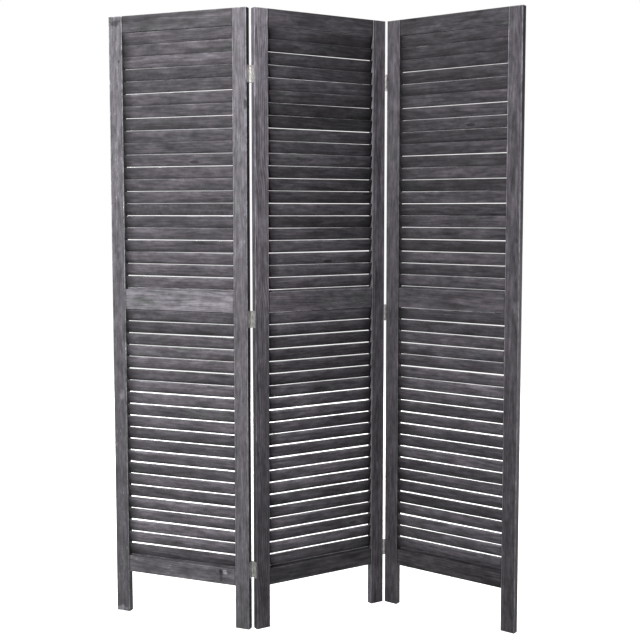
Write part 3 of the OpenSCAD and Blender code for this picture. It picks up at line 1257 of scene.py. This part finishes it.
@dataclass(frozen=True)
class ScrewSizes:
    """A countersunk hinge screw with a cross recess."""

    head_width: float = 5.4
    head_height: float = 1.3
    shank_width: float = 3.0
    length: float = 16.0
    point_length: float = 4.0
    thread_pitch: float = 1.35
    thread_depth: float = 0.42
    plain_length: float = 3.0
    recess_length: float = 3.0
    recess_width: float = 0.7
    recess_depth: float = 0.8
    sides: int = 20
    rings: int = 60


@dataclass(frozen=True)
class ScrewTree:
    """The geometry tree that makes the screws of one hinge line in one panel."""

    sizes: ScrewSizes

    def build(self) -> bpy.types.NodeTree:
        """Builds the tree.

        Returns:
            The tree, whose inputs are in metres and radians.
        """
        tree = bpy.data.node_groups.new("hinge_screws", "GeometryNodeTree")
        given = group_sockets(
            tree,
            {
                "Screws in a leaf": "NodeSocketInt",
                "Spacing": "NodeSocketFloat",
                "Top leaf": "NodeSocketVector",
                "Middle leaf": "NodeSocketVector",
                "Bottom leaf": "NodeSocketVector",
                "Facing": "NodeSocketFloat",
                "Seed": "NodeSocketInt",
                "Panel corner": "NodeSocketVector",
                "Panel turn": "NodeSocketFloat",
                "Plating": "NodeSocketMaterial",
            },
        ).outputs
        joint = add_node(tree, "GeometryNodeJoinGeometry")
        for leaf in ("Top leaf", "Middle leaf", "Bottom leaf"):
            line = add_node(
                tree,
                "GeometryNodeMeshLine",
                {
                    "Count": given["Screws in a leaf"],
                    "Start Location": given[leaf],
                    "Offset": joined(tree, 0.0, 0.0, given["Spacing"]),
                },
                mode="OFFSET",
            )
            tree.links.new(line.outputs[0], joint.inputs[0])
        roll = add_node(
            tree,
            "FunctionNodeRandomValue",
            {2: 0.0, 3: math.pi, "Seed": given["Seed"]},
            data_type="FLOAT",
        ).outputs[1]
        rotation = add_node(
            tree, "FunctionNodeEulerToRotation", {0: joined(tree, roll, 0.0, given["Facing"])}
        ).outputs[0]
        driven = add_node(
            tree,
            "GeometryNodeInstanceOnPoints",
            {"Points": joint.outputs[0], "Instance": self._screw(tree), "Rotation": rotation},
        ).outputs[0]
        placed = add_node(
            tree,
            "GeometryNodeTransform",
            {
                "Geometry": driven,
                "Translation": given["Panel corner"],
                "Rotation": joined(tree, 0.0, 0.0, given["Panel turn"]),
            },
        ).outputs[0]
        real = add_node(tree, "GeometryNodeRealizeInstances", {"Geometry": placed}).outputs[0]
        plated = add_node(tree, "GeometryNodeSetMaterial", {"Geometry": real, "Material": given["Plating"]})
        add_node(tree, "NodeGroupOutput", {0: plated.outputs[0]})
        return tree

    def _screw(self, tree: bpy.types.NodeTree) -> bpy.types.NodeSocket:
        """Makes one screw along +X, with its head's face at the origin.

        Args:
            tree: The tree.

        Returns:
            The screw's geometry.
        """
        s = self.sizes
        rod = add_node(
            tree,
            "GeometryNodeMeshCylinder",
            {"Vertices": s.sides, "Side Segments": s.rings, "Radius": 1.0, "Depth": s.length},
        ).outputs["Mesh"]
        u, v, w = axes_of(tree, add_node(tree, "GeometryNodeInputPosition").outputs[0])
        deep = w + s.length / 2
        angle = u.angle(v)
        head = s.head_width / 2 - deep * ((s.head_width - s.shank_width) / 2 / s.head_height)
        turn = (deep * (1 / s.thread_pitch) - angle * (0.5 / math.pi)).fraction()
        flank = abs(turn - 0.5) * 2.0
        thread = deep.rise(s.plain_length, s.plain_length + s.thread_pitch) * s.thread_depth
        taper = deep.rise(s.length - s.point_length, s.length, 1.0, 0.12)
        shank = (s.shank_width / 2 - flank * thread) * taper
        radius = head.most(shank)
        inside = (u * u + v * v).root()
        spread = radius * inside.least(1.0) * MM / inside.most(0.001)
        turned = joined(tree, deep * MM, u * spread, v * spread)
        shaped = add_node(tree, "GeometryNodeSetPosition", {"Geometry": rod, "Position": turned}).outputs[0]
        facing = axes_of(tree, add_node(tree, "GeometryNodeInputNormal").outputs[0])[0]
        smooth = add_node(
            tree, "GeometryNodeSetShadeSmooth", {"Geometry": shaped, "Selection": facing.above(-0.9)}
        ).outputs[0]
        cut = add_node(tree, "GeometryNodeMeshBoolean", {0: smooth}, operation="DIFFERENCE")
        for size in ((s.recess_length, s.recess_width), (s.recess_width, s.recess_length)):
            arm = add_node(
                tree, "GeometryNodeMeshCube", {"Size": (2 * s.recess_depth * MM, size[0] * MM, size[1] * MM)}
            )
            tree.links.new(arm.outputs[0], cut.inputs[1])
        return cut.outputs[0]


@dataclass(frozen=True)
class HingeLine:
    """The three hinges of a fold, whose leaves lie flush in the stiles, with the screws of both panels."""

    fold: Side
    outer: PanelName
    outer_side: Side
    centre_side: Side
    screw_count: int = 3
    screw_spacing: float = 15.0
    seed: int = 5

    def dress(self, plating: bpy.types.Material) -> None:
        """Plates the leaves and pins.

        Args:
            plating: Their finish.
        """
        for level in Level:
            for part in ("outer_leaf", "centre_leaf", "pin"):
                dress(f"{self.fold.value}_{level.value}_hinge_{part}", plating)

    def build_screws(
        self,
        tree: bpy.types.NodeTree,
        plating: bpy.types.Material,
        places: dict[PanelName, PanelPlace],
        sizes: PanelSizes,
    ) -> list[bpy.types.Object]:
        """Makes the screws on both sides of the fold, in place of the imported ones.

        Args:
            tree: The screw tree.
            plating: Their finish.
            places: The panels' places.
            sizes: The panels' sizes.

        Returns:
            The two pieces.
        """
        made = []
        sides = (("outer", self.outer, self.outer_side), ("centre", PanelName.CENTRE, self.centre_side))
        for number, (part, panel, side) in enumerate(sides):
            name = f"{self.fold.value}_hinge_{part}_screws"
            edge = 0.0 if side is Side.LEFT else sizes.width
            low = -self.screw_spacing * (self.screw_count - 1) / 2 * MM
            heights = {
                level: sum(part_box(f"{self.fold.value}_{level.value}_hinge_{part}_leaf"), Vector()).z / 2
                for level in Level
            }
            piece = made_by(
                tree,
                f"{self.fold.value}_hinge_{part}_cross_screws",
                {
                    "Screws in a leaf": self.screw_count,
                    "Spacing": self.screw_spacing * MM,
                    **{
                        f"{level.value.capitalize()} leaf": (edge * MM, sizes.thickness / 2 * MM, z + low)
                        for level, z in heights.items()
                    },
                    "Facing": 0.0 if side is Side.LEFT else math.pi,
                    "Seed": self.seed + number,
                    "Panel corner": tuple(places[panel].corner),
                    "Panel turn": places[panel].turn,
                    "Plating": plating,
                },
            )
            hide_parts(name)
            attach(piece, f"{panel.value}_panel")
            made.append(piece)
        return made


@dataclass(frozen=True)
class PhotoCamera:
    """The photograph's camera, with lengths in metres and angles in degrees."""

    place: tuple[float, float, float] = (0.015, -3.054, 1.156)
    to_left: float = -0.16
    downward: float = 4.63
    focal_pixels: float = 1092.0
    rise: float = 0.03
    sensor: float = 36.0

    def build(self) -> bpy.types.Object:
        """Makes the camera and sets it as the scene's.

        Returns:
            The camera.
        """
        data = bpy.data.cameras.new("photo_camera")
        data.sensor_width = self.sensor
        data.lens = self.focal_pixels / PHOTO_SIDE * self.sensor
        data.shift_y = -self.rise
        camera = bpy.data.objects.new("photo_camera", data)
        bpy.context.scene.collection.objects.link(camera)
        camera.location = self.place
        camera.rotation_euler = Euler((math.radians(90 - self.downward), 0.0, math.radians(self.to_left)))
        bpy.context.scene.camera = camera
        return camera


@dataclass(frozen=True)
class SoftBox:
    """A square soft light, with lengths in metres and its power in watts."""

    name: str
    place: tuple[float, float, float]
    aim: tuple[float, float, float]
    size: float
    power: float

    def build(self) -> None:
        """Stands the light in the studio, facing its aim."""
        data = bpy.data.lights.new(self.name, "AREA")
        data.shape = "SQUARE"
        data.size = self.size
        data.energy = self.power
        light = bpy.data.objects.new(self.name, data)
        bpy.context.scene.collection.objects.link(light)
        light.location = self.place
        light.rotation_euler = (Vector(self.aim) - Vector(self.place)).to_track_quat("-Z", "Y").to_euler()


@dataclass(frozen=True)
class Studio:
    """A white studio: a pale floor, a dim even surround and one soft light in front on the left.

    The light is turned away to the left, so that only its edge falls on the screen and the
    right panel gets less. A second one stands low on the right and lights the right panel's
    outer edge, and a third one lights the backs. The camera sees the surround as plain white,
    and the floor glows for the camera alone, so that it looks as white as a cut-out photograph's.
    """

    floor_size: float = 60.0
    floor_tone: float = 0.7
    floor_glow: float = 0.95
    surround: float = 0.12
    lights: tuple[SoftBox, ...] = (
        SoftBox("front_box", (-1.15, -2.4, 2.7), (-3.4, 0.0, 2.2), 1.3, 420.0),
        SoftBox("rim_box", (2.1, 0.5, 0.55), (0.5, -0.1, 0.6), 0.7, 14.0),
        SoftBox("back_box", (-0.9, 3.4, 2.6), (0.0, 0.0, 0.8), 1.6, 260.0),
    )

    def build(self) -> None:
        """Makes the floor, the surround and the lights."""
        bpy.context.scene.view_settings.view_transform = "Standard"
        self._floor()
        self._surround()
        for light in self.lights:
            light.build()

    def _floor(self) -> None:
        """Lays the floor."""
        half = self.floor_size / 2
        mesh = bpy.data.meshes.new("floor")
        corners = [(-half, -half, 0.0), (half, -half, 0.0), (half, half, 0.0), (-half, half, 0.0)]
        mesh.from_pydata(corners, [], [(0, 1, 2, 3)])
        floor = bpy.data.objects.new("floor", mesh)
        bpy.context.scene.collection.objects.link(floor)
        material = new_material("pale_floor")
        tree = material.node_tree
        shader = tree.nodes["Principled BSDF"]
        shader.inputs["Base Color"].default_value = (self.floor_tone, self.floor_tone, self.floor_tone, 1.0)
        shader.inputs["Roughness"].default_value = 1.0
        shader.inputs["Specular IOR Level"].default_value = 0.0
        shader.inputs["Emission Color"].default_value = (1.0, 1.0, 1.0, 1.0)
        seen = Reading(tree, add_node(tree, "ShaderNodeLightPath").outputs["Is Camera Ray"])
        feed(tree, shader.inputs["Emission Strength"], seen * self.floor_glow)
        mesh.materials.append(material)

    def _surround(self) -> None:
        """Lights the scene dimly and evenly from all round."""
        world = bpy.data.worlds.new("white_surround")
        bpy.context.scene.world = world
        world.use_nodes = True
        tree = world.node_tree
        seen = tree.nodes["Background"]
        seen.inputs["Color"].default_value = (1.0, 1.0, 1.0, 1.0)
        light = add_node(
            tree, "ShaderNodeBackground", {"Color": (1.0, 1.0, 1.0, 1.0), "Strength": self.surround}
        )
        by_camera = add_node(tree, "ShaderNodeLightPath").outputs["Is Camera Ray"]
        mixed = add_node(tree, "ShaderNodeMixShader", {0: by_camera, 1: light.outputs[0], 2: seen.outputs[0]})
        tree.links.new(mixed.outputs[0], tree.nodes["World Output"].inputs["Surface"])


# A stile's first tone is at its foot and its last at its top. The tones are partly the boards' own stain and
# partly painted light: the rise towards the top and the differences between the panels stand in for light
# falling off down and across the screen.
STILE_STAINS = {
    (PanelName.LEFT, Side.LEFT): Stain(
        0.047,
        0.074,
        wear=2.2,
        scuffs=2.4,
        green=0.2,
        marks=(
            Mark(1683.0, -1.0, 22.0, 34.0, 0.35),
            Mark(1575.0, 10.0, 10.0, 8.0, 0.4),
            Mark(1440.0, 2.0, 80.0, 8.0, 0.8),
            Mark(1052.0, -1.0, 12.0, 20.0, 1.25),
            Mark(635.0, 6.0, 30.0, 20.0, 1.8),
            Mark(490.0, -15.0, 12.0, 7.0, 1.6),
            Mark(260.0, 2.0, 16.0, 24.0, 1.3),
            Mark(188.0, 15.0, 9.0, 8.0, 1.7),
            Mark(8.0, -4.0, 20.0, 38.0, 2.6),
        ),
    ),
    (PanelName.LEFT, Side.RIGHT): Stain(
        0.078,
        0.086,
        scuffs=0.6,
        green=0.12,
        marks=(
            Mark(1330.0, 17.0, 22.0, 9.0, 1.4),
            Mark(1170.0, -9.0, 70.0, 22.0, 1.2, green=0.7),
            Mark(1150.0, 14.0, 9.0, 9.0, 1.45),
            Mark(1075.0, 13.0, 12.0, 9.0, 1.45),
            Mark(60.0, 0.0, 150.0, 50.0, 0.9, green=0.3),
        ),
    ),
    (PanelName.CENTRE, Side.LEFT): Stain(
        0.05,
        0.126,
        wear=0.6,
        figure=0.5,
        marks=(
            Mark(1660.0, 0.0, 130.0, 60.0, 1.25),
            Mark(1360.0, -12.0, 230.0, 12.0, 0.68),
            Mark(1165.0, -11.0, 90.0, 10.0, 0.72),
            Mark(90.0, 6.0, 90.0, 26.0, 0.75),
        ),
    ),
    (PanelName.CENTRE, Side.RIGHT): Stain(
        0.061,
        0.083,
        wear=0.5,
        figure=0.4,
        edge_face_light=1.35,
        arris_highlight=1.1,
        marks=(Mark(1460.0, -8.0, 260.0, 10.0, 0.72), Mark(1300.0, 2.0, 240.0, 12.0, 0.72)),
    ),
    (PanelName.RIGHT, Side.LEFT): Stain(
        0.042, 0.067, edge_face_light=1.0, arris_highlight=1.1, marks=(Mark(1610.0, -2.0, 50.0, 24.0, 0.85),)
    ),
    (PanelName.RIGHT, Side.RIGHT): Stain(
        0.053,
        0.094,
        edge_face_light=1.1,
        arris_highlight=2.2,
        marks=(
            Mark(1390.0, -4.0, 60.0, 20.0, 0.8),
            Mark(1255.0, -2.0, 90.0, 22.0, 0.78),
            Mark(1080.0, 11.0, 16.0, 12.0, 0.6),
            Mark(900.0, 10.0, 30.0, 16.0, 1.3),
        ),
    ),
}
RAIL_STAINS = {
    (PanelName.LEFT, Level.TOP): Stain(0.026, 0.038, mottle=1.2),
    (PanelName.LEFT, Level.MIDDLE): Stain(
        0.1,
        0.116,
        wear=0.3,
        scuffs=0.0,
        figure=0.25,
        green=0.2,
        marks=(
            Mark(-112.0, -4.0, 110.0, 22.0, 0.85, green=0.6),
            Mark(-40.0, 16.0, 46.0, 6.0, 0.6),
            Mark(105.0, 10.0, 66.0, 12.0, 0.75),
            Mark(70.0, -12.0, 200.0, 16.0, 1.12),
        ),
    ),
    (PanelName.LEFT, Level.BOTTOM): Stain(
        0.062,
        0.079,
        mottle=0.75,
        scuffs=1.7,
        green=0.25,
        marks=(
            Mark(124.0, 12.0, 13.0, 16.0, 0.2),
            Mark(126.0, -3.0, 11.0, 26.0, 0.5),
            Mark(138.0, 12.0, 14.0, 16.0, 3.0),
            Mark(-160.0, -12.0, 12.0, 8.0, 1.6),
        ),
    ),
    (PanelName.CENTRE, Level.TOP): Stain(0.051, 0.046),
    (PanelName.CENTRE, Level.MIDDLE): Stain(0.077, 0.075),
    (PanelName.CENTRE, Level.BOTTOM): Stain(0.032, 0.03, mottle=1.2),
    (PanelName.RIGHT, Level.TOP): Stain(0.029, 0.054, mottle=1.2),
    (PanelName.RIGHT, Level.MIDDLE): Stain(
        0.058, 0.079, marks=(Mark(20.0, 14.0, 230.0, 16.0, 0.75), Mark(60.0, -17.0, 260.0, 12.0, 0.78))
    ),
    (PanelName.RIGHT, Level.BOTTOM): Stain(0.027, 0.034, mottle=1.5),
}
SLAT_FINISHES = {
    PanelName.LEFT: SlatFinish(Stain(0.059, 0.062, 0.85), 0.65, left_shadow_reach=45.0, right_shadow_reach=14.0),
    PanelName.CENTRE: SlatFinish(
        Stain(0.076, 0.058, 0.85), 0.56, left_shadow_reach=45.0, right_shadow_reach=50.0, foot=850.0
    ),
    PanelName.RIGHT: SlatFinish(Stain(0.064, 0.086, 0.85), 0.46, left_shadow_reach=45.0, right_shadow_reach=14.0),
}


@dataclass
class Screen:
    """The whole screen, panel by panel and fold by fold."""

    sizes: PanelSizes = field(default_factory=PanelSizes)
    slat_sizes: SlatSizes = field(default_factory=SlatSizes)
    screw_sizes: ScrewSizes = field(default_factory=ScrewSizes)
    folds: tuple[HingeLine, ...] = (
        HingeLine(Side.LEFT, PanelName.LEFT, Side.RIGHT, Side.LEFT, seed=5),
        HingeLine(Side.RIGHT, PanelName.RIGHT, Side.LEFT, Side.RIGHT, seed=9),
    )
    places: dict[PanelName, PanelPlace] = field(init=False)

    def __post_init__(self) -> None:
        """Finds the panels."""
        self.places = {panel: PanelPlace.of(panel, self.sizes) for panel in PanelName}

    def dress_boards(self, panel: PanelName) -> None:
        """Stains a panel's stiles and rails, and dresses its dowels.

        Args:
            panel: The panel.
        """
        place = self.places[panel]
        first = 10.0 * (1 + list(PanelName).index(panel))
        for number, side in enumerate(Side):
            stain = STILE_STAINS[panel, side]
            Stile(panel, side, place, self.sizes, stain, first + number).dress()
        for number, level in enumerate(Level):
            stain = RAIL_STAINS[panel, level]
            Rail(panel, level, place, self.sizes, stain, first + 2 + number).dress()
        dress(f"{panel.value}_panel_dowels", BareBeech().material(place))
        LOG.info("%s panel: 2 stiles, 3 rails and the dowels dressed", panel.value)

    def build_slats(self, panel: PanelName, tree: bpy.types.NodeTree) -> None:
        """Makes a panel's two banks of slats.

        Args:
            panel: The panel.
            tree: The louvre tree.
        """
        stain = SLAT_FINISHES[panel].material(f"{panel.value}_slat_stain", self.slat_sizes)
        for number, bank in enumerate(Bank):
            seed = 100 * (1 + list(PanelName).index(panel)) + 10 * number
            louvre = LouvreBank(panel, bank, self.places[panel], self.sizes, self.slat_sizes, seed)
            piece = louvre.build(tree, stain)
            LOG.info("%s: %d slats, %d faces", piece.name, self.slat_sizes.count, len(piece.data.polygons))

    def build_hinges(self) -> None:
        """Plates the hinges and makes their screws."""
        plating = ZincPlate().material("hinge_zinc")
        screw_plating = ZincPlate(bright=(0.5, 0.5, 0.49)).material("screw_zinc")
        tree = ScrewTree(self.screw_sizes).build()
        for fold in self.folds:
            fold.dress(plating)
            for piece in fold.build_screws(tree, screw_plating, self.places, self.sizes):
                LOG.info("%s: %d faces", piece.name, len(piece.data.polygons))


def main() -> None:
    """Builds the camera, the studio and the screen, in order."""
    logging.basicConfig(level=logging.INFO, format="%(message)s")
    camera = PhotoCamera().build()
    LOG.info("camera: %.1f mm lens", camera.data.lens)
    Studio().build()
    LOG.info("studio: floor, surround and three soft lights")
    screen = Screen()
    louvres = LouvreTree(screen.slat_sizes).build()
    for panel in PanelName:
        screen.dress_boards(panel)
        screen.build_slats(panel, louvres)
    screen.build_hinges()


if __name__ == "__main__":
    main()
